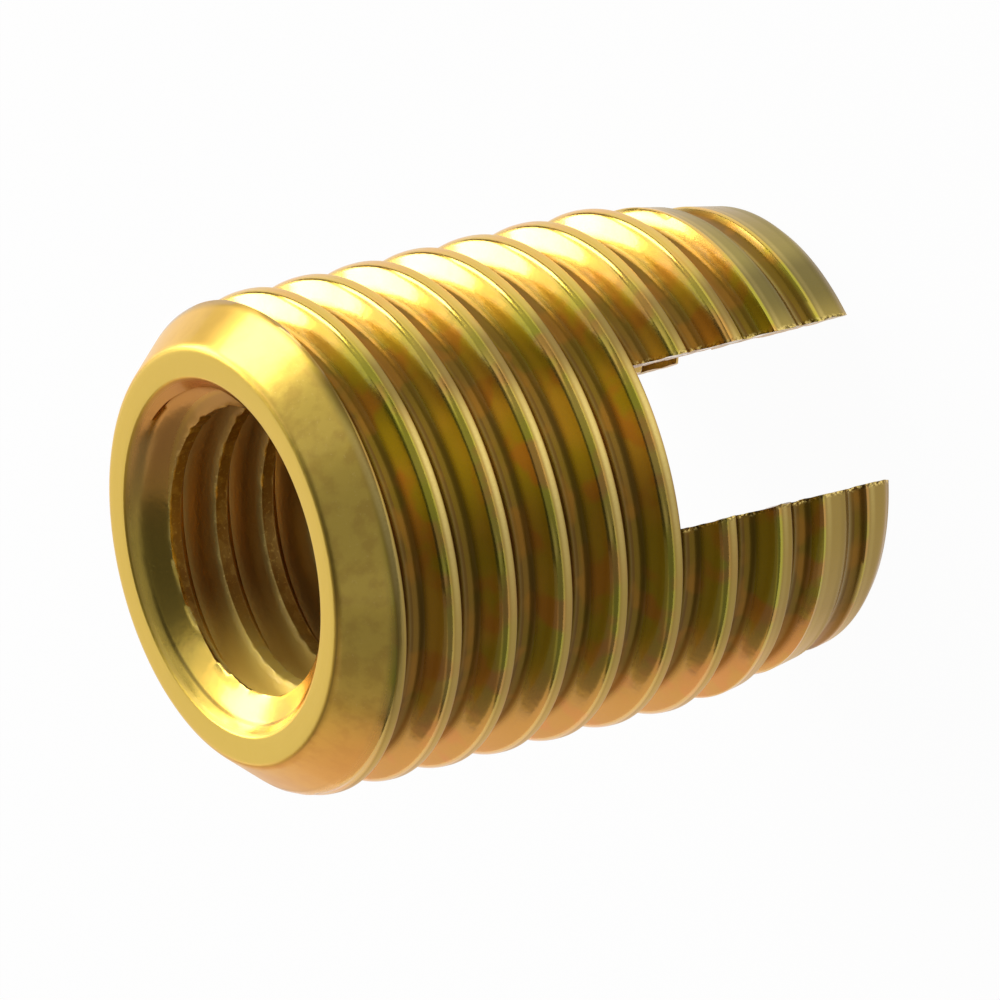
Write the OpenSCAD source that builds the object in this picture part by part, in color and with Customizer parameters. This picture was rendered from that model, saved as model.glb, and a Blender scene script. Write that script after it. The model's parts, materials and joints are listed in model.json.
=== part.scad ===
// Self-tapping threaded insert with a cutting slot, turned in one piece from steel.
// It stands on its slotted lead end, with the axis on +Z and the plain face on top.

/* [Body] */
// Length from the slotted lead end to the plain face
body_l = 15; // [12:0.5:20]
// Thickness of the wall, from the inner thread's crests to the outer thread's crests
wall = 2.535; // [2.235:0.05:2.835]

/* [Outer thread] */
// Diameter over the thread crests
thread_d = 11.72; // [11.4:0.02:13]
// Rise of the thread in one turn, right-handed
thread_pitch = 1.5; // [1.25:0.05:1.75]
// Width of the flat on a full crest
crest_flat = 0.32; // [0.24:0.02:0.4]
// Width of the flat at the root
root_flat = 0.43; // [0.3:0.01:0.5]
// Angle between the two flanks, of the inner thread too
flank_angle = 60; // [55:1:65]
// Direction around the axis in which a crest crosses the lead end
thread_turn = 157; // [0:1:359]

/* [Plain end] */
// Width of the chamfer, from the full crest in to the plain face
face_chamfer_w = 0.94; // [0.7:0.02:1.2]
// Height of the chamfer between the plain face and the full crest
face_chamfer_h = 1.2; // [0.8:0.05:1.6]
// How far above the chamfer's lower edge the outer groove has run out
groove_gap = 0.05; // [0.02:0.01:0.3]
// Length over which the outer groove runs out
groove_runout = 0.35; // [0.25:0.05:0.6]

/* [Lead end] */
// Depth of the lead taper at the end, in from the full crest
lead_drop = 0.71; // [0.4:0.01:0.9]
// Length over which the lead taper grows to the full crest
lead_l = 3.7; // [2.5:0.1:5]
// Width of the chamfer on the end's edge
tip_w = 0.18; // [0.1:0.01:0.3]
// Height of the chamfer on the end's edge
tip_h = 0.25; // [0.15:0.05:0.4]

/* [Cutting slot] */
// Width of the slot across the lead end
slot_w = 3.9; // [3:0.1:4.5]
// Depth of the slot from the lead end
slot_depth = 6.1; // [4.5:0.1:7.5]

/* [Bore] */
// Width of the countersink at the plain face, out from the inner thread's crests
mouth_w = 0.9; // [0.6:0.05:1.3]
// Depth of the 45 degree edge around that countersink
mouth_rim = 0.26; // [0.1:0.02:0.4]
// Width of the countersink at the lead end, out from the inner thread's crests
lead_mouth_w = 0.775; // [0.5:0.025:1.1]
// Full angle of both countersinks
countersink_angle = 120; // [100:1:130]

/* [Inner thread] */
// Rise of the thread in one turn, right-handed
inner_pitch = 1.25; // [1:0.05:1.5]
// Width of the flat on an inner crest
inner_crest_flat = 0.31; // [0.25:0.01:0.4]
// Width of the flat at an inner root
inner_root_flat = 0.16; // [0.1:0.01:0.2]
// Direction around the axis in which an inner crest crosses the lead end
inner_turn = 307; // [0:1:359]

/* [Hidden] */
$fn = 96;

// Straight sides in one turn of the outer and the inner helix
outer_steps = 60;
inner_steps = 40;
// Turns by which a threaded rod reaches past each end of the body
spare_turns = 2;
// How far a cutting body reaches past the surface that it cuts
cut_past = 0.5;
// Part of a crest flat, on each flank, by which a threaded rod reaches past the finished crest
spare_share = 0.25;

crest_r = thread_d / 2;
bore_r = crest_r - wall;
face_r = crest_r - face_chamfer_w;
lead_r = crest_r - lead_drop;
tip_r = lead_r - tip_w;
flank_slope = tan(flank_angle / 2);
thread_depth = (thread_pitch - crest_flat - root_flat) / (2 * flank_slope);
root_r = crest_r - thread_depth;
inner_depth = (inner_pitch - inner_crest_flat - inner_root_flat) / (2 * flank_slope);
inner_root_r = bore_r + inner_depth;

// One pitch of a threaded rod as [radius, height above the middle of the crest]
function rod_profile(low_r, high_r, low_flat, high_flat, pitch) = [
    [low_r, (low_flat - pitch) / 2],
    [high_r, -high_flat / 2],
    [high_r, high_flat / 2],
    [low_r, (pitch - low_flat) / 2],
];
function spare_depth(flat) = spare_share * flat / flank_slope;
function spare_flat(flat) = flat * (1 - 2 * spare_share);

// A rod with a right-hand thread on its whole length
module threaded_rod(profile, pitch, turn, steps) {
    corners = len(profile);
    rows = ceil(steps * (body_l / pitch + 2 * spare_turns));

    function row_turn(row) = row / steps - spare_turns;
    function row_point(row, j) =
        let (angle = turn + 360 * row_turn(row), p = profile[j])
        [p[0] * cos(angle), p[0] * sin(angle), pitch * row_turn(row) + p[1]];

    // The last point of a row is the first point of the row one turn later
    function index(row, j) =
        j == corners ? index(row + steps, 0)
        : row <= rows ? corners * row + j
        : corners * (rows + 1) + row - rows - 1;

    // The open edge of the helical strip at a row, as a closed ring of points
    function rim(row) = [
        for (i = [0 : steps]) index(row + i, 0),
        for (j = [corners - 1 : -1 : 1]) index(row, j),
    ];

    strip_points = [
        for (row = [0 : rows], j = [0 : corners - 1]) row_point(row, j),
        for (i = [1 : steps]) row_point(rows + i, 0),
    ];
    strip_faces = [
        for (row = [0 : rows - 1], j = [0 : corners - 1])
            let (a = index(row, j), b = index(row + 1, j), c = index(row + 1, j + 1), d = index(row, j + 1))
            each [[a, c, b], [a, d, c]],
    ];
    low_hub = len(strip_points);
    high_hub = low_hub + 1;
    hubs = [for (row = [0, rows]) [0, 0, pitch * row_turn(row)]];
    low_rim = rim(0);
    high_rim = rim(rows);
    low_faces = [
        for (i = [0 : len(low_rim) - 1]) [low_hub, low_rim[i], low_rim[(i + 1) % len(low_rim)]],
    ];
    high_faces = [
        for (i = [0 : len(high_rim) - 1]) [high_hub, high_rim[(i + 1) % len(high_rim)], high_rim[i]],
    ];
    polyhedron(
        points = concat(strip_points, hubs),
        faces = concat(strip_faces, low_faces, high_faces)
    );
}

// The outer thread before its crests and the ends are turned
module outer_thread() {
    blank_r = crest_r + spare_depth(crest_flat);
    profile = rod_profile(root_r, blank_r, root_flat, spare_flat(crest_flat), thread_pitch);
    threaded_rod(profile, thread_pitch, thread_turn, outer_steps);
}

// The cone in which the outer groove runs out towards the plain face
module groove_end() {
    slope = thread_depth / groove_runout;
    groove_stop = face_chamfer_h - groove_gap;
    low_z = body_l - groove_stop - groove_runout - cut_past;
    high_z = body_l + cut_past;
    translate([0, 0, low_z])
        cylinder(
            r1 = root_r - slope * cut_past,
            r2 = crest_r + slope * (groove_stop + cut_past),
            h = high_z - low_z
        );
}

// The tap that cuts the inner thread, half a turn round from its crests
module tap() {
    core_r = bore_r - spare_depth(inner_crest_flat);
    profile = rod_profile(core_r, inner_root_r, spare_flat(inner_crest_flat), inner_root_flat, inner_pitch);
    threaded_rod(profile, inner_pitch, inner_turn - 180, inner_steps);
}

// The turned outline: end chamfer, lead taper, full crests and face chamfer
module turned_outline() {
    lead_slope = lead_drop / lead_l;
    rotate_extrude()
        polygon([
            [0, 0],
            [tip_r, 0],
            [lead_r + lead_slope * tip_h, tip_h],
            [crest_r, lead_l],
            [crest_r, body_l - face_chamfer_h],
            [face_r, body_l],
            [0, body_l],
        ]);
}

// The hole before it is tapped, with both countersinks
module bore() {
    cone_slope = tan(countersink_angle / 2);
    rim_r = bore_r + mouth_w - mouth_rim;
    rotate_extrude()
        polygon([
            [0, -cut_past],
            [bore_r + lead_mouth_w + cut_past * cone_slope, -cut_past],
            [bore_r, lead_mouth_w / cone_slope],
            [bore_r, body_l - mouth_rim - (rim_r - bore_r) / cone_slope],
            [rim_r, body_l - mouth_rim],
            [bore_r + mouth_w + cut_past, body_l + cut_past],
            [0, body_l + cut_past],
        ]);
}

module cutting_slot() {
    slot_reach = thread_d + 2 * cut_past;
    translate([-slot_w / 2, -slot_reach / 2, -cut_past])
        cube([slot_w, slot_reach, slot_depth + cut_past]);
}

module insert() {
    color("goldenrod")
        difference() {
            intersection() {
                union() {
                    outer_thread();
                    groove_end();
                }
                turned_outline();
            }
            bore();
            tap();
            cutting_slot();
        }
}

insert();
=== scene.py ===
"""Self-tapping threaded insert with a cutting slot, in zinc-plated, yellow-passivated steel.

The file is laid out as an add-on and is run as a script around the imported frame. One operator makes
the insert's finished surface, and one sets the floor, the lamps and the camera.
"""

import json
import math
from functools import partial
from types import SimpleNamespace
from typing import NamedTuple

import bpy
import numpy as np
from mathutils import Matrix, Vector


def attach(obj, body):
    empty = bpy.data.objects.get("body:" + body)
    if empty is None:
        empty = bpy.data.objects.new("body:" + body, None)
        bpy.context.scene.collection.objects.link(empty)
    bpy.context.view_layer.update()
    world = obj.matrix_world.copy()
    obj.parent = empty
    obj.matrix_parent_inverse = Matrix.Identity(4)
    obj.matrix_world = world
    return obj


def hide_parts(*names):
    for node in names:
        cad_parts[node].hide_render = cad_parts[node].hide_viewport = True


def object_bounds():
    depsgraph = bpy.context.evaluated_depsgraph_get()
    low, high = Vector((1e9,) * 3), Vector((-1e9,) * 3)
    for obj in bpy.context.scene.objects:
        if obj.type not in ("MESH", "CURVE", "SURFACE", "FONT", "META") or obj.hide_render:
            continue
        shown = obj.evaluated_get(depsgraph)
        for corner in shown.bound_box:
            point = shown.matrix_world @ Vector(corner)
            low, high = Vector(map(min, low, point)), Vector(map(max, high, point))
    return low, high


bl_info = {
    "name": "Threaded insert",
    "version": (1, 0, 0),
    "blender": (4, 5, 0),
    "location": "3D View > Sidebar > Insert",
    "description": "Makes a self-tapping threaded insert and the stage that it stands on",
    "category": "Object",
}

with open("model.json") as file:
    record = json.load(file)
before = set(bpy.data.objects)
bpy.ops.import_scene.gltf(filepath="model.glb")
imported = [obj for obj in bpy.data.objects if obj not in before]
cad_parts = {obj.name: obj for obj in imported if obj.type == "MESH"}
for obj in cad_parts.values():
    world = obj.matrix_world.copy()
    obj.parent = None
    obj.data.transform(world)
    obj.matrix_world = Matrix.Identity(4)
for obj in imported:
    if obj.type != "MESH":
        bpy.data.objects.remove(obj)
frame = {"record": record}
CAD_LOW, CAD_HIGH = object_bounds()

MM = 0.001
TURN = 2.0 * math.pi
NODE = "insert"
SLOT_NAME = "yellow_zinc_steel"
MOUNTS = {mount["name"]: mount for mount in frame["record"]["mounts"]}

# How finely the surface is divided
COLUMNS = 192
OUTER_ROWS = 30
INNER_ROWS = 14
EDGE_RINGS = 4
FACE_RINGS = 3

# How much closer the rows lie at a crest's edge or in a root, and over which height
CREST_WEIGHT = 3.0
ROOT_WEIGHT = 0.5
OUTER_SPREAD = 0.08 * MM
INNER_CREST_WEIGHT = 2.0
INNER_SPREAD = 0.07 * MM
ROW_SAMPLES = 2001

# Pitches by which the rows reach past both ends, and the part of a row that is pulled on to an end
SPARE_PITCHES = 3
SNAP_SHARE = 0.15

# Slope of the steeper edge of the mouth, which is at 45 degrees
RIM_SLOPE = 1.0

# Tears in the inner crests: the seed, the slowest and fastest wave in a turn, and the level they start at
TEAR_SEED = 5
TEAR_WAVES = (30, 90)
TEAR_LEVEL = 0.5

# The block that cuts the slot: its reach in crest radii and past the lead end, its grid, and a sign and
# a seed for each of its two sides
CUTTER_REACH = 1.2
CUTTER_PAST = 0.5 * MM
CUTTER_COLUMNS = 121
CUTTER_ROWS = 61
CUTTER_SIDES = ((-1.0, 11), (1.0, 12))

# Marks on the slot's walls: slowest and fastest wave of the fine ones, with their closeness and lean, and
# the same of the long ones along the slot, with their share and how much their seed is higher
FINE_MARKS = (2, 14)
FINE_DENSITY = 1.7
FINE_LEAN = 0.15
LONG_MARKS = (2, 9)
LONG_SHARE = 0.7
LONG_SEED_SHIFT = 10

# Edges that turn by more than this are shaded sharp
SHARP_ANGLE = math.radians(38.0)


def size(name, description, default):
    """A length that a user may change, in metres."""
    return bpy.props.FloatProperty(
        name=name, description=description, default=default, unit="LENGTH", precision=6
    )


def tint(name, description, default):
    """A colour that a user may change."""
    return bpy.props.FloatVectorProperty(
        name=name, description=description, default=default, subtype="COLOR", size=3, min=0.0, max=1.0
    )


def number(name, description, default):
    """A plain number that a user may change."""
    return bpy.props.FloatProperty(name=name, description=description, default=default)


def degrees(name, description, default):
    """An angle that a user may change, given in degrees and kept in radians."""
    return bpy.props.FloatProperty(
        name=name, description=description, default=math.radians(default), subtype="ANGLE"
    )


class InsertSizes(bpy.types.PropertyGroup):
    """Sizes of the turned, threaded and slotted body"""

    length: size("Length", "From the slotted lead end to the plain face", CAD_HIGH.z)
    crest_radius: size(
        "Crest radius", "Outer thread, over the full crests", MOUNTS["outer_thread"]["dims"]["r_mm"] * MM
    )
    pitch: size("Pitch", "Rise of the outer thread in one turn", 1.5 * MM)
    crest_flat: size("Crest flat", "Width of the flat on a full outer crest", 0.32 * MM)
    root_flat: size("Root flat", "Width of the flat at the outer root", 0.43 * MM)
    crest_turn: degrees("Crest direction", "Where a crest crosses the lead end", 157.0)
    groove_gap: size("Groove gap", "From the chamfer's lower edge to the end of the groove", 0.05 * MM)
    groove_runout: size("Groove run-out", "Length over which the groove runs out", 0.35 * MM)
    flank: degrees("Flank angle", "Lean of each flank from square to the axis", 30.0)

    face_chamfer_w: size("Face chamfer width", "From the full crest in to the plain face", 0.94 * MM)
    face_chamfer_h: size("Face chamfer height", "From the plain face to the full crest", 1.2 * MM)
    lead_drop: size("Lead drop", "Depth of the lead taper at the end", 0.71 * MM)
    lead_length: size("Lead length", "Over which the taper grows to the full crest", 3.7 * MM)
    tip_w: size("Tip chamfer width", "Chamfer on the edge of the lead end", 0.18 * MM)
    tip_h: size("Tip chamfer height", "Chamfer on the edge of the lead end", 0.25 * MM)

    slot_w: size("Slot width", "Across the cutting slot", 3.9 * MM)
    slot_depth: size("Slot depth", "From the lead end to the slot's floor", 6.1 * MM)

    bore_radius: size(
        "Bore radius", "Inner thread, over its crests", MOUNTS["inner_thread"]["dims"]["r_mm"] * MM
    )
    inner_pitch: size("Inner pitch", "Rise of the inner thread in one turn", 1.25 * MM)
    inner_crest_flat: size("Inner crest flat", "Width of the flat on an inner crest", 0.31 * MM)
    inner_root_flat: size("Inner root flat", "Width of the flat at an inner root", 0.16 * MM)
    inner_turn: degrees("Inner crest direction", "Where an inner crest crosses the lead end", 307.0)
    mouth_w: size("Mouth width", "Countersink at the plain face, out from the bore", 0.9 * MM)
    mouth_rim: size("Mouth rim", "Steeper edge of the countersink at the plain face", 0.26 * MM)
    mouth_angle: degrees("Mouth angle", "Full angle of both countersinks", 120.0)
    lead_mouth_w: size("Lead mouth width", "Countersink at the lead end, out from the bore", 0.775 * MM)

    crest_round: size("Crest rounding", "Radius from an outer crest into its upper flank", 0.26 * MM)
    crest_corner: size("Crest corner", "Radius from an outer crest into its lower flank", 0.1 * MM)
    root_round: size("Root rounding", "Radius from an outer root into its flanks", 0.24 * MM)
    inner_crest_round: size("Inner crest rounding", "Radius from an inner crest into its flanks", 0.05 * MM)
    inner_root_round: size("Inner root rounding", "Radius from an inner root into its flanks", 0.13 * MM)
    edge_round: size("Edge rounding", "Blend between a turned cone and what it cuts", 0.06 * MM)
    shoulder_round: size("Shoulder rounding", "Blend from the face chamfer into the first crest", 0.16 * MM)
    face_edge: size("Face edge", "Rounding on the outer rim of the plain face", 0.13 * MM)
    rim_edge: size("Rim edge", "Rounding on the other rims of both ends", 0.04 * MM)
    inner_tear: size("Torn crest", "Deepest tear in the inner crests", 0.06 * MM)
    slot_mark: size("Cutter marks", "Waviness that the cutter left on the slot's walls", 0.012 * MM)


class InsertTints(bpy.types.PropertyGroup):
    """Colours of the passivated film, and of the painted shade, painted highlights and painted light laid
    on it
    """

    gold: tint("Gold", "Main colour of the film", (0.82, 0.57, 0.09))
    olive: tint("Olive", "Where the film is thicker and greener", (0.62, 0.55, 0.03))
    # Painted shade: darkens the undersides of the crests on the near side, so that the flanks below reflect
    # them darker. Also laid on the lead taper's crest flats towards +X
    under: tint("Under", "Thick film under the crests and on the lead taper", (0.29, 0.25, 0.06))
    # Painted shade: dark colour from each flank's foot into the root
    amber: tint("Amber", "Pooled film, from a flank's foot into the root", (0.15, 0.062, 0.006))
    # Reddish patches that break up the painted shade at the flanks' feet
    russet: tint("Russet", "Reddish patches in the pooled film", (0.46, 0.21, 0.014))
    rose: tint("Rose", "Patches where the film turns reddish", (0.80, 0.38, 0.07))
    # Painted light: a paler film on the +X side, which faces the key lamps, so that its highlights read
    # whiter
    peach: tint("Peach", "Thinner film on the side that the cutting edge leads", (0.85, 0.53, 0.10))
    # Painted reflection: a redder, darker film on the -X side
    copper: tint("Copper", "Redder film on the side that the cutting edge trails", (0.74, 0.40, 0.12))
    satin: tint("Satin", "Thin film on the turned chamfer", (0.78, 0.55, 0.10))
    bronze: tint("Bronze", "Blotches on the turned chamfer", (0.60, 0.37, 0.07))
    # Painted shade: a darker, dull colour on the crests' flats, except on the +X side, and in the roots,
    # standing in for the dark surroundings that they reflect
    tan: tint("Tan", "Dull film on the flats of the crests and in the roots", (0.42, 0.26, 0.055))
    brass: tint("Brass", "Rubbed film on the crests of the lead taper", (0.54, 0.37, 0.085))
    # Painted shade on the near side's threads and along the mouth's crease, and real dark specks on the
    # burrs
    umber: tint("Umber", "Stain along the threads, on burrs and on the mouth's seam", (0.03, 0.014, 0.002))
    # Painted shade: a darker film in the mouth of the bore on the +X side, which faces away from the key
    # lamps
    sepia: tint("Sepia", "Thick film in the mouth of the bore", (0.50, 0.25, 0.085))
    # Painted shade: a darker, duller film over the inner thread
    bore: tint("Bore", "Thick, dull film on the inner thread", (0.56, 0.36, 0.10))
    # Painted light: a bright film where the key lamps shine into the bore near its mouth, on the -X side
    straw: tint("Straw", "Bright film on the inner thread near the mouth", (1.0, 0.76, 0.16))
    # Real bare zinc on specks, chips and burrs, and also a painted highlight along each crest line
    worn: tint("Worn", "Bare zinc on rubbed lines, specks and chips", (0.92, 0.70, 0.22))


class InsertStage(bpy.types.PropertyGroup):
    """Camera, floor and the light from all round"""

    azimuth: degrees("Azimuth", "Turn of the camera from the slot's plane", 1.17)
    elevation: degrees("Elevation", "Height of the camera above the floor's plane", 29.78)
    roll: degrees("Roll", "Turn of the insert's axis from level in the picture", 13.63)
    view_width: size("View width", "Width that the picture covers at the insert", 22.91 * MM)
    distance: size("Distance", "From the camera to the insert", 1.0)
    across: size("Across", "From the plain face to the picture's middle, along the picture", 6.377 * MM)
    above: size("Above", "From the plain face to the picture's middle, up the picture", 1.324 * MM)
    floor_tint: tint("Floor", "Colour of the floor", (0.90, 0.90, 0.90))
    floor_white: number("Floor white", "How far the floor is taken to plain white", 0.97)
    world_level: number("World level", "Light from all round", 0.05)


# Geometry of the body


def smooth_min(a, b, blend):
    """The smaller of two heights, with the corner between them rounded."""
    share = np.clip(0.5 + 0.5 * (b - a) / blend, 0.0, 1.0)
    return b + (a - b) * share - blend * share * (1.0 - share)


def smooth_max(a, b, blend):
    """The larger of two heights, with the corner between them rounded."""
    return -smooth_min(-a, -b, blend)


def ripple(x, seed, slowest, fastest, count=24):
    """A smooth irregular wave along x, about -1 to 1, with a whole number of waves in one turn."""
    draw = np.random.default_rng(seed)
    rates = draw.integers(slowest, fastest, count)
    phases = draw.uniform(0.0, TURN, count)
    wave = sum(np.sin(rate * x + phase) for rate, phase in zip(rates, phases))
    return wave / math.sqrt(count)


def crest_offset(angle, z, pitch, turn):
    """Height above the nearest thread crest, from minus half a pitch to half a pitch."""
    height = z - pitch * (angle - turn) / TURN
    return height - pitch * np.round(height / pitch)


def thread_fall(offset, pitch, crest_flat, root_flat, crest_round, root_round, flank):
    """How far a thread lies below its crest, at a height off the crest's middle. Its corners are arcs."""
    slope = math.tan(flank)
    depth = (pitch - crest_flat - root_flat) / (2.0 * slope)
    off = np.abs(offset)
    crest_side = np.maximum(off - (crest_flat / 2.0 - crest_round * slope), 0.0)
    root_side = np.maximum(pitch / 2.0 - (root_flat / 2.0 - root_round * slope) - off, 0.0)
    crest_arc = crest_round - np.sqrt(np.maximum(crest_round**2 - crest_side**2, 0.0))
    root_arc = depth - root_round + np.sqrt(np.maximum(root_round**2 - root_side**2, 0.0))
    line = (off - crest_flat / 2.0) / slope
    fall = np.where(root_side < root_round * math.cos(flank), root_arc, line)
    return np.where(crest_side < crest_round * math.cos(flank), crest_arc, fall)


def outer_radius(s, angle, z):
    """Radius of the outer surface: the thread, cut by the turned ends."""
    offset = crest_offset(angle, z, s.pitch, s.crest_turn)
    crest_round = np.where(offset > 0.0, s.crest_round, s.crest_corner)
    fall = thread_fall(offset, s.pitch, s.crest_flat, s.root_flat, crest_round, s.root_round, s.flank)
    depth = (s.pitch - s.crest_flat - s.root_flat) / (2.0 * math.tan(s.flank))
    groove_stop = s.face_chamfer_h - s.groove_gap
    runout = s.crest_radius + (groove_stop - (s.length - z)) * depth / s.groove_runout
    thread = smooth_max(s.crest_radius - fall, runout, s.shoulder_round)
    face = s.crest_radius - s.face_chamfer_w + (s.length - z) * s.face_chamfer_w / s.face_chamfer_h
    lead = s.crest_radius - s.lead_drop + z * s.lead_drop / s.lead_length
    tip_rise = (s.tip_w + s.tip_h * s.lead_drop / s.lead_length) / s.tip_h
    tip = s.crest_radius - s.lead_drop - s.tip_w + z * tip_rise
    ends = smooth_min(lead, tip, s.edge_round)
    return smooth_min(smooth_min(thread, ends, s.edge_round), face, s.shoulder_round)


def inner_radius(s, angle, z):
    """Radius of the bore's surface: the inner thread, with its torn crests, and both countersinks."""
    offset = crest_offset(angle, z, s.inner_pitch, s.inner_turn)
    along = angle + TURN * np.round((z / s.inner_pitch) - (angle - s.inner_turn) / TURN)
    tear = s.inner_tear * np.clip(ripple(along, TEAR_SEED, *TEAR_WAVES) - TEAR_LEVEL, 0.0, 1.0)
    thread = s.bore_radius + thread_fall(
        offset,
        s.inner_pitch,
        s.inner_crest_flat,
        s.inner_root_flat,
        s.inner_crest_round,
        s.inner_root_round,
        s.flank,
    )
    thread = smooth_max(thread, s.bore_radius + tear, s.inner_crest_round)
    cone = math.tan(s.mouth_angle / 2.0)
    below = s.length - z
    rim = s.bore_radius + s.mouth_w - below
    inner_cone = s.bore_radius + s.mouth_w - s.mouth_rim - cone * (below - s.mouth_rim)
    mouth = np.minimum(rim, inner_cone)
    lead_mouth = s.bore_radius + s.lead_mouth_w - cone * z
    return smooth_max(thread, smooth_max(mouth, lead_mouth, s.edge_round), s.edge_round)


def row_marks(pitch, rows, corners, spread):
    """Heights of the rows in one pitch from -pitch / 2, set closer together around the corners."""
    fine = np.linspace(-pitch / 2.0, pitch / 2.0, ROW_SAMPLES)
    density = np.ones_like(fine)
    for corner, weight in corners:
        density += weight * np.exp(-(((np.abs(fine) - corner) / spread) ** 2))
    reach = np.concatenate([[0.0], np.cumsum((density[1:] + density[:-1]) / 2.0)])
    return np.interp(np.arange(rows) / rows * reach[-1], reach, fine)


class Skin:
    """Points and faces of one closed surface, made from rings and from helical walls."""

    def __init__(self, columns):
        self.columns = columns
        self.angles = np.arange(columns) * TURN / columns
        self.points = []
        self.faces = []
        self.count = 0

    def add_points(self, radius, angle, z):
        """Adds points given by radius, angle and height, and returns their numbers."""
        points = np.stack([radius * np.cos(angle), radius * np.sin(angle), z], -1)
        self.points.append(points.reshape(-1, 3))
        numbers = self.count + np.arange(points.size // 3)
        self.count += len(numbers)
        return numbers

    def ring(self, radius, z):
        """Adds one ring of points round the axis."""
        ones = np.ones(self.columns)
        return self.add_points(radius * ones, self.angles, z * ones)

    def add_face(self, corners):
        """Adds a face, without the corners that fall together."""
        kept = [c for k, c in enumerate(corners) if c != corners[k - 1]]
        if len(set(kept)) == len(kept) and len(kept) > 2:
            self.faces.append(kept)

    def bridge(self, rings):
        """Joins rings in turn. The surface faces outwards when the path runs up the outside."""
        for low, high in zip(rings[:-1], rings[1:]):
            for i in range(self.columns):
                j = (i + 1) % self.columns
                self.add_face([low[i], low[j], high[j], high[i]])

    def helical_wall(self, radius_at, pitch, turn, marks, low_z, high_z, outward):
        """Adds a wall whose rows follow a thread, and returns its lowest and highest ring."""
        rows = len(marks)
        first = math.floor(low_z / pitch) - SPARE_PITCHES
        last = math.ceil(high_z / pitch) + SPARE_PITCHES
        starts = (np.arange(first, last)[:, None] * pitch + marks[None, :]).ravel()
        shift = pitch * (self.angles - turn) / TURN
        z = starts[:, None] + shift[None, :]
        angle = np.broadcast_to(self.angles, z.shape)
        snap = SNAP_SHARE * pitch / rows
        below = z < low_z + snap
        above = z > high_z - snap
        inside = ~(below | above)
        numbers = np.empty(z.shape, int)
        numbers[inside] = self.add_points(radius_at(angle[inside], z[inside]), angle[inside], z[inside])
        low_ring = self.ring(radius_at(self.angles, np.full(self.columns, low_z)), low_z)
        high_ring = self.ring(radius_at(self.angles, np.full(self.columns, high_z)), high_z)
        numbers[below] = np.broadcast_to(low_ring, z.shape)[below]
        numbers[above] = np.broadcast_to(high_ring, z.shape)[above]
        top = len(starts) - 1
        for q in range(top):
            for i in range(self.columns):
                if i + 1 < self.columns:
                    right = numbers[q, i + 1]
                    up_right = numbers[q + 1, i + 1]
                else:
                    right = numbers[min(q + rows, top), 0]
                    up_right = numbers[min(q + 1 + rows, top), 0]
                corners = [numbers[q, i], right, up_right, numbers[q + 1, i]]
                self.add_face(corners if outward else corners[::-1])
        return low_ring, high_ring

    def mesh(self, name):
        """The finished Blender mesh."""
        mesh = bpy.data.meshes.new(name)
        faces = [list(map(int, face)) for face in self.faces]
        mesh.from_pydata(np.concatenate(self.points).tolist(), [], faces)
        mesh.validate()
        return mesh


def rounded_rim(start, corner, end, steps):
    """Points of a rounded corner as (radius, height) pairs, from start to end, without the start."""
    shares = np.arange(1, steps + 1) / steps
    return [
        tuple((1 - t) ** 2 * np.array(start) + 2 * t * (1 - t) * np.array(corner) + t * t * np.array(end))
        for t in shares
    ]


def end_face(skin, outer_ring_r, outer_z, outer_slope, inner_ring_r, inner_z, inner_slope, face_z):
    """Rings of one flat end, from the outer wall to the bore, with both rims rounded."""
    outer_edge = abs(face_z - outer_z)
    inner_edge = abs(face_z - inner_z)
    outer_corner = outer_ring_r - outer_slope * outer_edge
    inner_corner = inner_ring_r + inner_slope * inner_edge
    rims = rounded_rim(
        (outer_ring_r, outer_z), (outer_corner, face_z), (outer_corner - outer_edge, face_z), EDGE_RINGS
    )
    flat_from, flat_to = outer_corner - outer_edge, inner_corner + inner_edge
    rims += [(flat_from + (flat_to - flat_from) * k / FACE_RINGS, face_z) for k in range(1, FACE_RINGS + 1)]
    rims += rounded_rim(
        (flat_to, face_z), (inner_corner, face_z), (inner_ring_r, inner_z), EDGE_RINGS
    )[:-1]
    return [skin.ring(r, z) for r, z in rims]


def whole_body(s):
    """The insert before its slot is cut: outer thread, plain face, inner thread and lead end."""
    skin = Skin(COLUMNS)
    low_z = s.rim_edge
    outer_high_z = s.length - s.face_edge
    inner_high_z = s.length - s.rim_edge
    outer_corners = [(s.crest_flat / 2.0, CREST_WEIGHT), (s.pitch / 2.0, ROOT_WEIGHT)]
    outer_marks = row_marks(s.pitch, OUTER_ROWS, outer_corners, OUTER_SPREAD)
    inner_corners = [(s.inner_crest_flat / 2.0, INNER_CREST_WEIGHT)]
    inner_marks = row_marks(s.inner_pitch, INNER_ROWS, inner_corners, INNER_SPREAD)
    outer_wall = partial(outer_radius, s)
    inner_wall = partial(inner_radius, s)
    outer_low, outer_high = skin.helical_wall(
        outer_wall, s.pitch, s.crest_turn, outer_marks, low_z, outer_high_z, True
    )
    inner_low, inner_high = skin.helical_wall(
        inner_wall, s.inner_pitch, s.inner_turn, inner_marks, low_z, inner_high_z, False
    )
    mouth_slope = math.tan(s.mouth_angle / 2.0)
    side = np.zeros(1)
    top = end_face(
        skin,
        float(outer_wall(side, side + outer_high_z)[0]),
        outer_high_z,
        s.face_chamfer_w / s.face_chamfer_h,
        float(inner_wall(side, side + inner_high_z)[0]),
        inner_high_z,
        RIM_SLOPE,
        s.length,
    )
    foot = end_face(
        skin,
        float(outer_wall(side, side + low_z)[0]),
        low_z,
        s.tip_w / s.tip_h,
        float(inner_wall(side, side + low_z)[0]),
        low_z,
        mouth_slope,
        0.0,
    )
    skin.bridge([outer_high, *top, inner_high])
    skin.bridge([inner_low, *foot[::-1], outer_low])
    return skin.mesh(NODE + "_body")


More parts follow.
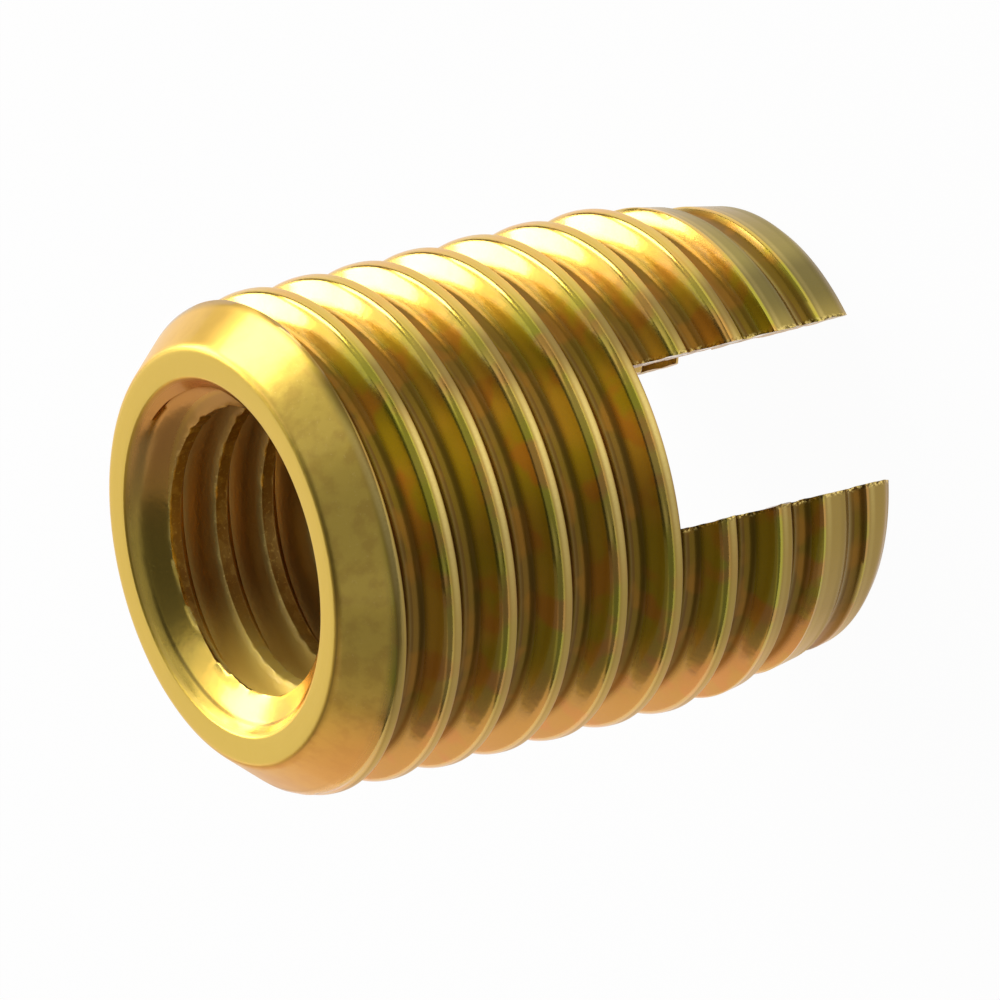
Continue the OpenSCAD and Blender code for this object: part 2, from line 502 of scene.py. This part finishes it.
def slot_cutter(s):
    """A block as wide as the slot, whose two sides carry the marks that the cutter left."""
    reach = s.crest_radius * CUTTER_REACH
    along = np.linspace(-reach, reach, CUTTER_COLUMNS)
    up = np.linspace(-CUTTER_PAST, s.slot_depth, CUTTER_ROWS)
    y, z = np.meshgrid(along, up, indexing="ij")
    points = []
    faces = []
    for side, seed in CUTTER_SIDES:
        fine = ripple(z / MM * FINE_DENSITY + FINE_LEAN * y / MM, seed, *FINE_MARKS)
        marks = fine + LONG_SHARE * ripple(y / MM, seed + LONG_SEED_SHIFT, *LONG_MARKS)
        x = side * (s.slot_w / 2.0 + s.slot_mark * marks)
        start = len(points)
        points += np.stack([x, y, z], -1).reshape(-1, 3).tolist()
        for i in range(len(along) - 1):
            for j in range(len(up) - 1):
                a = start + i * len(up) + j
                quad = [a, a + len(up), a + len(up) + 1, a + 1]
                faces.append(quad if side > 0 else quad[::-1])
    half = len(points) // 2
    rim = [i * len(up) for i in range(len(along))]
    rim += [(len(along) - 1) * len(up) + j for j in range(1, len(up))]
    rim += [i * len(up) + len(up) - 1 for i in range(len(along) - 2, -1, -1)]
    rim += list(range(len(up) - 2, 0, -1))
    for k, a in enumerate(rim):
        b = rim[(k + 1) % len(rim)]
        faces.append([half + b, half + a, a, b])
    mesh = bpy.data.meshes.new("slot_cutter")
    mesh.from_pydata(points, [], faces)
    mesh.validate()
    cutter = bpy.data.objects.new("slot_cutter", mesh)
    bpy.context.scene.collection.objects.link(cutter)
    return cutter


def cut_away(body, cutter):
    """Cuts one object out of another for good, and removes the cutter."""
    cut = body.modifiers.new("slot", "BOOLEAN")
    cut.operation = "DIFFERENCE"
    cut.solver = "MANIFOLD"
    cut.object = cutter
    bpy.context.view_layer.update()
    shown = body.evaluated_get(bpy.context.evaluated_depsgraph_get())
    mesh = bpy.data.meshes.new_from_object(shown)
    body.modifiers.clear()
    body.data = mesh
    bpy.data.objects.remove(cutter)


# Shader maths


class Wire:
    """One socket of a shader tree, so that shader maths can be written as Python."""

    def __init__(self, tree, socket):
        self.tree = tree
        self.socket = socket

    @classmethod
    def add(cls, tree, kind, settings, sockets, out=0):
        """Adds a node: its settings first, then the values or links of its sockets. Returns one output."""
        node = tree.nodes.new(kind)
        for name, value in settings.items():
            setattr(node, name, value)
        for name, value in sockets.items():
            if isinstance(value, Wire):
                tree.links.new(value.socket, node.inputs[name])
            else:
                node.inputs[name].default_value = value
        return cls(tree, node.outputs[out]) if node.outputs else None

    def output(self, name):
        """Another output of the same node."""
        return Wire(self.tree, self.socket.node.outputs[name])

    def math(self, operation, *others):
        """A Math node on this wire and others."""
        sockets = dict(enumerate((self, *others)))
        return Wire.add(self.tree, "ShaderNodeMath", {"operation": operation}, sockets)

    def __add__(self, other):
        return self.math("ADD", other)

    __radd__ = __add__

    def __mul__(self, other):
        return self.math("MULTIPLY", other)

    __rmul__ = __mul__

    def __sub__(self, other):
        return self.math("SUBTRACT", other)

    def __rsub__(self, other):
        return Wire.add(self.tree, "ShaderNodeMath", {"operation": "SUBTRACT"}, {0: other, 1: self})

    def __truediv__(self, other):
        return self.math("DIVIDE", other)

    def __pow__(self, other):
        return self.math("POWER", other)

    def step(self, low, high):
        """Rises smoothly from 0 at low to 1 at high."""
        return Wire.add(
            self.tree,
            "ShaderNodeMapRange",
            {"interpolation_type": "SMOOTHSTEP", "clamp": True},
            {"Value": self, "From Min": low, "From Max": high},
        )

    def band(self, start, end):
        """Rises over one pair of limits and falls again over another."""
        return self.step(*start) * (1.0 - self.step(*end))


# Sockets of a Mix node's two colours, and of the colour that it gives
MIX_FIRST = 6
MIX_SECOND = 7
MIX_RESULT = 2


def layer(tree, share, under, over):
    """The colour that comes of covering one colour with another by a share."""
    settings = {"data_type": "RGBA", "clamp_factor": True}
    sockets = {0: share, MIX_FIRST: under, MIX_SECOND: over}
    return Wire.add(tree, "ShaderNodeMix", settings, sockets, MIX_RESULT)


def noise(tree, vector, scale, detail, roughness):
    """A noise value from 0 to 1."""
    sockets = {"Vector": vector, "Scale": scale, "Detail": detail, "Roughness": roughness}
    return Wire.add(tree, "ShaderNodeTexNoise", {"noise_dimensions": "3D"}, sockets)


def line_noise(tree, position, scale):
    """A noise value from 0 to 1 that changes in one direction only."""
    sockets = {"W": position, "Scale": scale, "Detail": LINE_DETAIL, "Roughness": LINE_ROUGHNESS}
    return Wire.add(tree, "ShaderNodeTexNoise", {"noise_dimensions": "1D"}, sockets)


def around(origin, limits):
    """The limits of a step, counted from an origin."""
    return [origin + limit for limit in limits]


def weighted(base, weights, wires):
    """A base, which is a number or a wire, plus each named wire times its weight."""
    total = base
    for name, weight in weights.items():
        total = total + wires[name] * weight
    return total


# Zones of the finish: the pairs of limits in millimetres over which each one fades in or out

# Height from the plain face
FROM_FACE = {
    "face": (-0.05, -0.01),
    "mouth": (-0.75, -0.65),
    "chamfer": (-1.12, -0.88),
    "shallow": (-4.2, -1.6),
}
# Height above the middle of a crest
FROM_CREST = {
    "line_low": (-0.18, -0.07),
    "line_high": (-0.04, 0.06),
    "flat_low": (-0.32, -0.26),
    "flat_high": (0.02, 0.10),
    "under": (-0.30, -0.22),
    "foot": (0.40, 0.54),
    "root": (0.78, 0.98),
    "root_end": (1.22, 1.34),
}
# Distance from the axis towards +X, towards -X and towards -Y
ALONG_X = {
    "leading": (3.2, 4.6),
    "taper": (1.0, 3.0),
    "line_end": (1.0, 2.6),
    "mouth": (0.5, 3.0),
    # Bands across X where the near side's threads get painted shade
    "low_stain": (-5.7, -4.3),
    "low_stain_end": (-1.4, 1.0),
    "high_stain": (1.7, 2.7),
    "high_stain_end": (3.2, 3.9),
}
AGAINST_X = {
    "trailing": (3.8, 5.4),
    "beneath": (0.3, 2.6),
    "line_end": (0.5, 3.5),
    "seam": (-1.0, 1.5),
}
AGAINST_Y = {
    "near": (0.0, 2.0),
    "mouth": (0.3, 2.0),
}
# Radius from the full crests, from the mouth's seam and from the inner crests
INSIDE_STEP = (-1.75, -1.6)
SEAM_START = (-0.06, -0.01)
SEAM_END = (0.01, 0.06)
TORN_STEP = (0.02, 0.10)
# Distance from the slot's wall, and height above its floor
BURR_STEP = (0.02, 0.12)
SLOT_END_STEP = (0.0, 0.08)
# The direction towards the near side, along which painted shade is laid under the crests, and the distance
# from the axis along it
POOL_WAY = (-0.26, -0.966)
POOL_STEP = (3.2, 4.0)
# How far the lead taper has widened a crest on each side
TAPER_STEP = (0.02, 0.12)

# Scale per millimetre, detail and roughness of each noise
NOISES = {
    "cloud": (0.35, 3.0, 0.5),
    "drift": (0.9, 2.0, 0.5),
    "blotch": (2.4, 4.0, 0.5),
    "dents": (2.2, 3.0, 0.5),
    "grain": (14.0, 4.0, 0.6),
    "pits": (30.0, 2.0, 0.5),
}
RING_SCALE = 16.0
THREAD_SCALE = 20.0
LINE_DETAIL = 3.0
LINE_ROUGHNESS = 0.6

# Noise values over which each kind of patch fades in
PATCH = {
    "olive": (0.32, 0.54),
    "rose": (0.47, 0.62),
    "bronze": (0.42, 0.66),
    "specks": (0.62, 0.72),
    "russet": (0.48, 0.60),
    "burr_clear": (0.38, 0.5),
    "burr_bright": (0.5, 0.6),
    "chips": (0.55, 0.70),
    "torn": (0.52, 0.60),
}
# How far each layer of film covers what lies under it
COVER = {
    "rose": 0.8,
    "bronze": 0.55,
    "specks": 0.5,
    "peach": 0.75,
    "copper": 0.75,
    "under": 0.9,
    "amber": 0.85,
    "russet": 0.35,
    "tan": 0.85,
    "brass": 0.6,
    "brass_drift": 0.5,
    "taper": 0.8,
    "rubbed": 0.55,
    "rubbed_grain": 0.6,
    "line_below": 0.8,
    "line_above": 0.7,
    "low_stain": 0.45,
    "high_stain": 0.25,
    "crest_stain": 0.2,
    "burr_dark": 0.8,
    "burr_bright": 0.9,
    "sepia": 0.75,
    "mouth_rose": 0.7,
    "seam": 0.6,
    "torn": 0.5,
    "chips": 0.8,
}

# What each zone or noise adds to the roughness, to the clear coat and to the relief, in microns. The
# relief starts from the rings on the plain face, which are one micron high
ROUGHNESS = 0.15
ROUGHER = {
    "cloud": 0.05,
    "grain": 0.06,
    "face": 0.13,
    "chamfer": 0.13,
    "foot": 0.15,
    "root": 0.15,
    "flat": 0.12,
    "mouth": 0.05,
    "bore": 0.16,
    "shallow": 0.14,
}
COAT = 0.7
MORE_COAT = {
    "foot": -0.6,
    "flat": -0.45,
    "inside": -0.5,
    "chamfer": -0.45,
    "face": -0.35,
    "trailing": -0.2,
}
RELIEF = {
    "threads": 0.5,
    "dents": 7.0,
    "grain": 0.5,
    "pits": 0.25,
    "rough_bore": 5.0,
}
MICRON = 0.001 * MM
COAT_ROUGHNESS = 0.08
COAT_IOR = 1.5
EDGE_TINT = (1.0, 0.84, 0.74, 1.0)
# How much less metallic the bright, painted light film near the mouth of the bore is
FILM_BODY = 0.6


def surface_zones(tree, place, s):
    """The insert's surface as wires: positions in millimetres, and zones that run from 0 to 1."""
    split = Wire.add(tree, "ShaderNodeSeparateXYZ", {}, {0: place})
    x, y, z = (split.output(axis) for axis in range(3))
    pitch = s.pitch / MM
    length = s.length / MM
    slot_top = s.slot_depth / MM
    seam_r = (s.bore_radius + s.mouth_w - s.mouth_rim) / MM
    turns = y.math("ARCTAN2", x) / TURN

    at = SimpleNamespace(x=x, minus_x=x * -1.0, minus_y=y * -1.0)
    at.radius = (x * x + y * y) ** 0.5
    at.rise = ((z / pitch - turns + (s.crest_turn / TURN + 0.5)).math("FRACT") - 0.5) * pitch
    above = (at.rise / pitch).math("FRACT") * pitch
    lead_share = (1.0 - z / (s.lead_length / MM)).math("MAXIMUM", 0.0)
    at.taper = lead_share * (s.lead_drop * math.tan(s.flank) / MM)
    upper = at.rise - at.taper
    lower = at.rise + at.taper

    at.face = z.step(*around(length, FROM_FACE["face"]))
    at.inside = 1.0 - at.radius.step(*around(s.crest_radius / MM, INSIDE_STEP))
    at.mouth = at.inside * z.step(*around(length, FROM_FACE["mouth"])) * (1.0 - at.face)
    at.bore = at.inside * (1.0 - at.mouth) * (1.0 - at.face)
    at.chamfer = z.step(*around(length, FROM_FACE["chamfer"])) * (1.0 - at.face) * (1.0 - at.inside)
    at.thread = (1.0 - at.face) * (1.0 - at.chamfer) * (1.0 - at.inside)
    outside = at.thread + at.chamfer

    at.line = upper.band(FROM_CREST["line_low"], FROM_CREST["line_high"]) * at.thread
    flat_below = lower.step(*FROM_CREST["flat_low"])
    at.flat = (1.0 - upper.step(*FROM_CREST["flat_high"])) * flat_below * at.thread
    # Painted shade under the crests, on the near side only
    pooled = (x * POOL_WAY[0] + y * POOL_WAY[1]).step(*POOL_STEP)
    at.under = (1.0 - lower.step(*FROM_CREST["under"])) * at.thread * pooled
    at.foot = above.band(FROM_CREST["foot"], FROM_CREST["root"]) * at.thread
    at.root = above.band(FROM_CREST["root"], FROM_CREST["root_end"]) * at.thread

    at.near = at.minus_y.step(*AGAINST_Y["near"])
    # Painted light on the +X side, which faces the key lamps
    at.leading = x.step(*ALONG_X["leading"]) * outside
    # Painted reflection tint on the -X side
    at.trailing = at.minus_x.step(*AGAINST_X["trailing"]) * outside
    # Bands across X where the near side's threads get painted shade
    at.low_stain = x.band(ALONG_X["low_stain"], ALONG_X["low_stain_end"])
    at.high_stain = x.band(ALONG_X["high_stain"], ALONG_X["high_stain_end"])

    from_slot = x.math("ABSOLUTE") - s.slot_w / MM / 2.0
    in_slot_reach = 1.0 - z.step(*around(slot_top, SLOT_END_STEP))
    at.burr = (1.0 - from_slot.step(*BURR_STEP)) * in_slot_reach * at.thread
    at.beneath = at.minus_x.step(*AGAINST_X["beneath"])
    # The inner thread near the mouth on the -X side, where the key lamps shine in, which gets painted light
    at.shallow = at.beneath * at.bore * z.step(*around(length, FROM_FACE["shallow"]))
    # The crease between the mouth's two cones, where a line of painted shade is laid
    at.seam = at.radius.band(around(seam_r, SEAM_START), around(seam_r, SEAM_END)) * at.mouth
    at.torn = 1.0 - at.radius.step(*around(s.bore_radius / MM, TORN_STEP))
    return at


def film_colour(tree, at, noises, tints):
    """The passivated film, in layers that cover the gold, with painted shade, painted highlights and
    painted light among them.
    """
    cloud, drift, blotch, grain = (noises[name] for name in ("cloud", "drift", "blotch", "grain"))
    tapered = at.flat * at.taper.step(*TAPER_STEP)
    fade_below = at.minus_x.step(*AGAINST_X["line_end"]) * COVER["line_below"]
    fade_above = at.x.step(*ALONG_X["line_end"]) * COVER["line_above"]
    # Bright line on each crest: wear from rubbing, and a painted highlight that fades out towards -X and +X
    rubbed = at.line * (COVER["rubbed"] + grain * COVER["rubbed_grain"])
    # Painted shade in two bands across X on the near side's threads, stronger on the crests' flats in the
    # upper band
    stain_above = at.high_stain * (COVER["high_stain"] + at.flat * COVER["crest_stain"])
    stain = at.low_stain * COVER["low_stain"] + stain_above
    chips = grain.step(*PATCH["chips"]) + blotch.step(*PATCH["torn"]) * COVER["torn"]
    layers = (
        ("olive", cloud.step(*PATCH["olive"]) * at.thread),
        ("rose", drift.step(*PATCH["rose"]) * at.thread * COVER["rose"]),
        ("satin", at.chamfer + at.mouth),
        ("bronze", blotch.step(*PATCH["bronze"]) * at.chamfer * COVER["bronze"]),
        ("worn", grain.step(*PATCH["specks"]) * at.chamfer * COVER["specks"]),
        # Painted light on the +X side
        ("peach", at.leading * COVER["peach"]),
        # Painted reflection tint on the -X side
        ("copper", at.trailing * COVER["copper"]),
        # Painted shade under the crests on the near side
        ("under", at.under * COVER["under"]),
        # Painted shade from each flank's foot into the root, broken by reddish patches
        ("amber", at.foot * COVER["amber"]),
        ("russet", at.foot * drift.step(*PATCH["russet"]) * COVER["russet"]),
        # Painted shade in the roots and on the crests' flats, except on the +X side
        ("tan", at.root * COVER["tan"]),
        ("tan", at.flat * (1.0 - at.leading) * COVER["tan"]),
        ("brass", tapered * (COVER["brass"] + drift * COVER["brass_drift"])),
        ("under", tapered * at.x.step(*ALONG_X["taper"]) * COVER["taper"]),
        # Wear and painted highlight along the crest lines
        ("worn", rubbed * (1.0 - fade_below - fade_above)),
        # Painted shade on the near side's threads
        ("umber", stain * at.near * at.thread),
        ("umber", at.burr * (1.0 - grain.step(*PATCH["burr_clear"])) * COVER["burr_dark"]),
        ("worn", at.burr * grain.step(*PATCH["burr_bright"]) * COVER["burr_bright"]),
        # Painted shade in the mouth on the +X side
        ("sepia", at.mouth * at.x.step(*ALONG_X["mouth"]) * COVER["sepia"]),
        ("rose", at.mouth * at.beneath * at.minus_y.step(*AGAINST_Y["mouth"]) * COVER["mouth_rose"]),
        # Painted shade along the mouth's crease, on the -X half
        ("umber", at.seam * at.minus_x.step(*AGAINST_X["seam"]) * COVER["seam"]),
        # Painted shade over the inner thread
        ("bore", at.bore),
        # Painted light where the key lamps shine into the bore
        ("straw", at.shallow),
        ("worn", chips * at.torn * COVER["chips"]),
    )
    film = (*tints.gold, 1.0)
    for name, share in layers:
        film = layer(tree, share, film, (*getattr(tints, name), 1.0))
    return film


def plated_steel(s, tints):
    """Bright zinc plating under a yellow passivated film, with turning marks, crests bright from rubbing
    wear and a painted highlight, and painted shade and painted light in its colour.
    """
    material = bpy.data.materials.new(SLOT_NAME)
    material.use_nodes = True
    tree = material.node_tree
    tree.nodes.clear()

    place = Wire.add(tree, "ShaderNodeTexCoord", {}, {}, "Object")
    place = Wire.add(tree, "ShaderNodeVectorMath", {"operation": "SCALE"}, {0: place, "Scale": 1.0 / MM})
    at = surface_zones(tree, place, s)
    noises = {name: noise(tree, place, *settings) for name, settings in NOISES.items()}
    wires = {**vars(at), **noises}
    rings = line_noise(tree, at.radius, RING_SCALE) * at.face
    wires["threads"] = line_noise(tree, at.rise, THREAD_SCALE) * at.thread
    wires["rough_bore"] = at.bore * noises["grain"]
    relief = {"Strength": 1.0, "Distance": MICRON, "Height": weighted(rings, RELIEF, wires)}
    shader = Wire.add(
        tree,
        "ShaderNodeBsdfPrincipled",
        {},
        {
            "Base Color": film_colour(tree, at, noises, tints),
            "Metallic": 1.0 - at.shallow * FILM_BODY,
            "Roughness": weighted(ROUGHNESS, ROUGHER, wires),
            "Normal": Wire.add(tree, "ShaderNodeBump", {}, relief),
            "Specular Tint": EDGE_TINT,
            "Coat Weight": weighted(COAT, MORE_COAT, wires),
            "Coat Roughness": COAT_ROUGHNESS,
            "Coat IOR": COAT_IOR,
        },
    )
    Wire.add(tree, "ShaderNodeOutputMaterial", {}, {"Surface": shader})
    return material


# Stage

WHITE = (1.0, 1.0, 1.0)
# Colour of the warm lamps
WARM = (1.0, 0.76, 0.62)
# Distance of the lamps from the insert, and half the width of the floor
LAMP_DISTANCE = 0.4
FLOOR_HALF = 1.5
# Width of the camera's sensor in millimetres, and the depths between which it sees
SENSOR_WIDTH = 36.0
CLIP_START = 0.1
CLIP_END = 10.0


class Lamp(NamedTuple):
    """A soft lamp as it is seen from the insert, with the angles that it spans across and up.

    Angles are in degrees, the azimuth is counted from +X towards +Y, and the level is the lamp's radiance.
    """

    name: str
    azimuth: float
    elevation: float
    wide: float
    high: float
    level: float
    colour: tuple = WHITE


LAMPS = (
    Lamp("key", 49.0, 29.0, 18.0, 30.0, 6.0),
    Lamp("key_edge", 34.0, 36.0, 14.0, 34.0, 1.2, WARM),
    Lamp("key_low", 14.0, 20.0, 34.0, 18.0, 6.0),
    Lamp("key_side", 17.0, 38.0, 14.0, 22.0, 1.2),
    Lamp("key_top", 25.0, 58.0, 30.0, 16.0, 0.8),
    Lamp("far", 78.0, 24.0, 52.0, 50.0, 0.85),
    Lamp("fill", 135.0, 14.0, 64.0, 34.0, 0.8, WARM),
    Lamp("high", 150.0, 50.0, 60.0, 42.0, 0.24, WARM),
    Lamp("side", -25.0, 29.0, 36.0, 54.0, 0.45),
    Lamp("front", -82.0, 36.0, 76.0, 72.0, 0.25),
    Lamp("left", -155.0, 27.0, 60.0, 50.0, 0.2),
)


def floor_finish(stage):
    """A pale floor that keeps the insert's shadow and reads as white."""
    material = bpy.data.materials.new("pale_floor")
    material.use_nodes = True
    tree = material.node_tree
    tree.nodes.clear()
    path = Wire.add(tree, "ShaderNodeLightPath", {}, {}, "Is Camera Ray")
    seen = (path + path.output("Is Glossy Ray") + path.output("Is Transmission Ray")).step(0.0, 1.0)
    matt = Wire.add(tree, "ShaderNodeBsdfDiffuse", {}, {"Color": (*stage.floor_tint, 1.0)})
    white = Wire.add(tree, "ShaderNodeEmission", {}, {"Color": (*WHITE, 1.0), "Strength": 1.0})
    mixed = Wire.add(tree, "ShaderNodeMixShader", {}, {0: seen * stage.floor_white, 1: matt, 2: white})
    Wire.add(tree, "ShaderNodeOutputMaterial", {}, {"Surface": mixed})
    return material


def make_floor(stage):
    """A wide flat floor under the lead end."""
    half = FLOOR_HALF
    mesh = bpy.data.meshes.new("floor")
    corners = [(-half, -half, 0.0), (half, -half, 0.0), (half, half, 0.0), (-half, half, 0.0)]
    mesh.from_pydata(corners, [], [(0, 1, 2, 3)])
    mesh.materials.append(floor_finish(stage))
    floor = bpy.data.objects.new("floor", mesh)
    bpy.context.scene.collection.objects.link(floor)
    return floor


def softbox(lamp):
    """Sets a rectangular lamp that faces the insert."""
    a = math.radians(lamp.azimuth)
    e = math.radians(lamp.elevation)
    way = Vector((math.cos(a) * math.cos(e), math.sin(a) * math.cos(e), math.sin(e)))
    data = bpy.data.lights.new(lamp.name, "AREA")
    data.shape = "RECTANGLE"
    data.size = 2.0 * LAMP_DISTANCE * math.tan(math.radians(lamp.wide) / 2.0)
    data.size_y = 2.0 * LAMP_DISTANCE * math.tan(math.radians(lamp.high) / 2.0)
    data.energy = lamp.level * math.pi * data.size * data.size_y
    data.color = lamp.colour
    piece = bpy.data.objects.new(lamp.name, data)
    aim = Vector((0.0, 0.0, CAD_HIGH.z / 2.0))
    turn = way.to_track_quat("Z", "Y").to_matrix().to_4x4()
    piece.matrix_world = Matrix.Translation(aim + way * LAMP_DISTANCE) @ turn
    bpy.context.scene.collection.objects.link(piece)


def make_camera(stage, length):
    """A long lens far off, turned so that the insert lies across the picture."""
    cos_e, sin_e = math.cos(stage.elevation), math.sin(stage.elevation)
    cos_a, sin_a = math.cos(stage.azimuth), math.sin(stage.azimuth)
    cos_r, sin_r = math.cos(stage.roll), math.sin(stage.roll)
    forward = Vector((sin_a * cos_e, cos_a * cos_e, -sin_e))
    side = Vector((cos_a, -sin_a, 0.0))
    rise = side.cross(forward)
    right = -cos_r * rise - sin_r * side
    up = cos_r * side - sin_r * rise
    aim = Vector((0.0, 0.0, length)) + right * stage.across + up * stage.above
    data = bpy.data.cameras.new("camera")
    data.sensor_width = SENSOR_WIDTH
    data.lens = data.sensor_width * stage.distance / stage.view_width
    data.clip_start = CLIP_START
    data.clip_end = CLIP_END
    camera = bpy.data.objects.new("camera", data)
    turn = Matrix((right, up, -forward)).transposed().to_4x4()
    camera.matrix_world = Matrix.Translation(aim - forward * stage.distance) @ turn
    bpy.context.scene.collection.objects.link(camera)
    bpy.context.scene.camera = camera


def set_world(level):
    """An even, dim light from all round."""
    world = bpy.data.worlds.new("studio")
    world.use_nodes = True
    back = world.node_tree.nodes["Background"]
    back.inputs["Color"].default_value = (level, level, level, 1.0)
    back.inputs["Strength"].default_value = 1.0
    bpy.context.scene.world = world


# Operators, panel and registration


class INSERT_OT_body(bpy.types.Operator):
    """Make the insert: threads, chamfers, bore and cutting slot, with its plated finish"""

    bl_idname = "insert.body"
    bl_label = "Insert"

    def execute(self, context):
        sizes = context.scene.insert_sizes
        body = bpy.data.objects.new(NODE + "_body", whole_body(sizes))
        context.scene.collection.objects.link(body)
        cut_away(body, slot_cutter(sizes))
        if len(body.data.polygons) < COLUMNS:
            raise RuntimeError("the slot's cut left no body")
        body.data.materials.clear()
        body.data.materials.append(plated_steel(sizes, context.scene.insert_tints))
        body.data.shade_smooth()
        body.data.set_sharp_from_angle(angle=SHARP_ANGLE)
        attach(body, "root")
        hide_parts(NODE)
        return {"FINISHED"}


class INSERT_OT_stage(bpy.types.Operator):
    """Set the floor, the lamps and the camera"""

    bl_idname = "insert.stage"
    bl_label = "Stage"

    def execute(self, context):
        stage = context.scene.insert_stage
        make_floor(stage)
        for lamp in LAMPS:
            softbox(lamp)
        set_world(stage.world_level)
        make_camera(stage, context.scene.insert_sizes.length)
        context.scene.view_settings.view_transform = "Standard"
        return {"FINISHED"}


class INSERT_PT_panel(bpy.types.Panel):
    """Lists the insert's operators and sizes"""

    bl_idname = "INSERT_PT_panel"
    bl_label = "Threaded insert"
    bl_space_type = "VIEW_3D"
    bl_region_type = "UI"
    bl_category = "Insert"

    def draw(self, context):
        for operator in (INSERT_OT_body, INSERT_OT_stage):
            self.layout.operator(operator.bl_idname)
        for group in (context.scene.insert_sizes, context.scene.insert_tints, context.scene.insert_stage):
            for name in group.bl_rna.properties.keys():
                if name not in ("rna_type", "name"):
                    self.layout.prop(group, name)


CLASSES = (InsertSizes, InsertTints, InsertStage, INSERT_OT_body, INSERT_OT_stage, INSERT_PT_panel)


def register():
    """Registers the classes and hangs their properties on the scene."""
    for cls in CLASSES:
        bpy.utils.register_class(cls)
    bpy.types.Scene.insert_sizes = bpy.props.PointerProperty(type=InsertSizes)
    bpy.types.Scene.insert_tints = bpy.props.PointerProperty(type=InsertTints)
    bpy.types.Scene.insert_stage = bpy.props.PointerProperty(type=InsertStage)


def unregister():
    """Takes the properties and the classes away again."""
    for name in ("insert_sizes", "insert_tints", "insert_stage"):
        delattr(bpy.types.Scene, name)
    for cls in reversed(CLASSES):
        bpy.utils.unregister_class(cls)


def main():
    """Makes the insert and its stage."""
    register()
    bpy.ops.insert.body()
    bpy.ops.insert.stage()


if __name__ == "__main__":
    main()
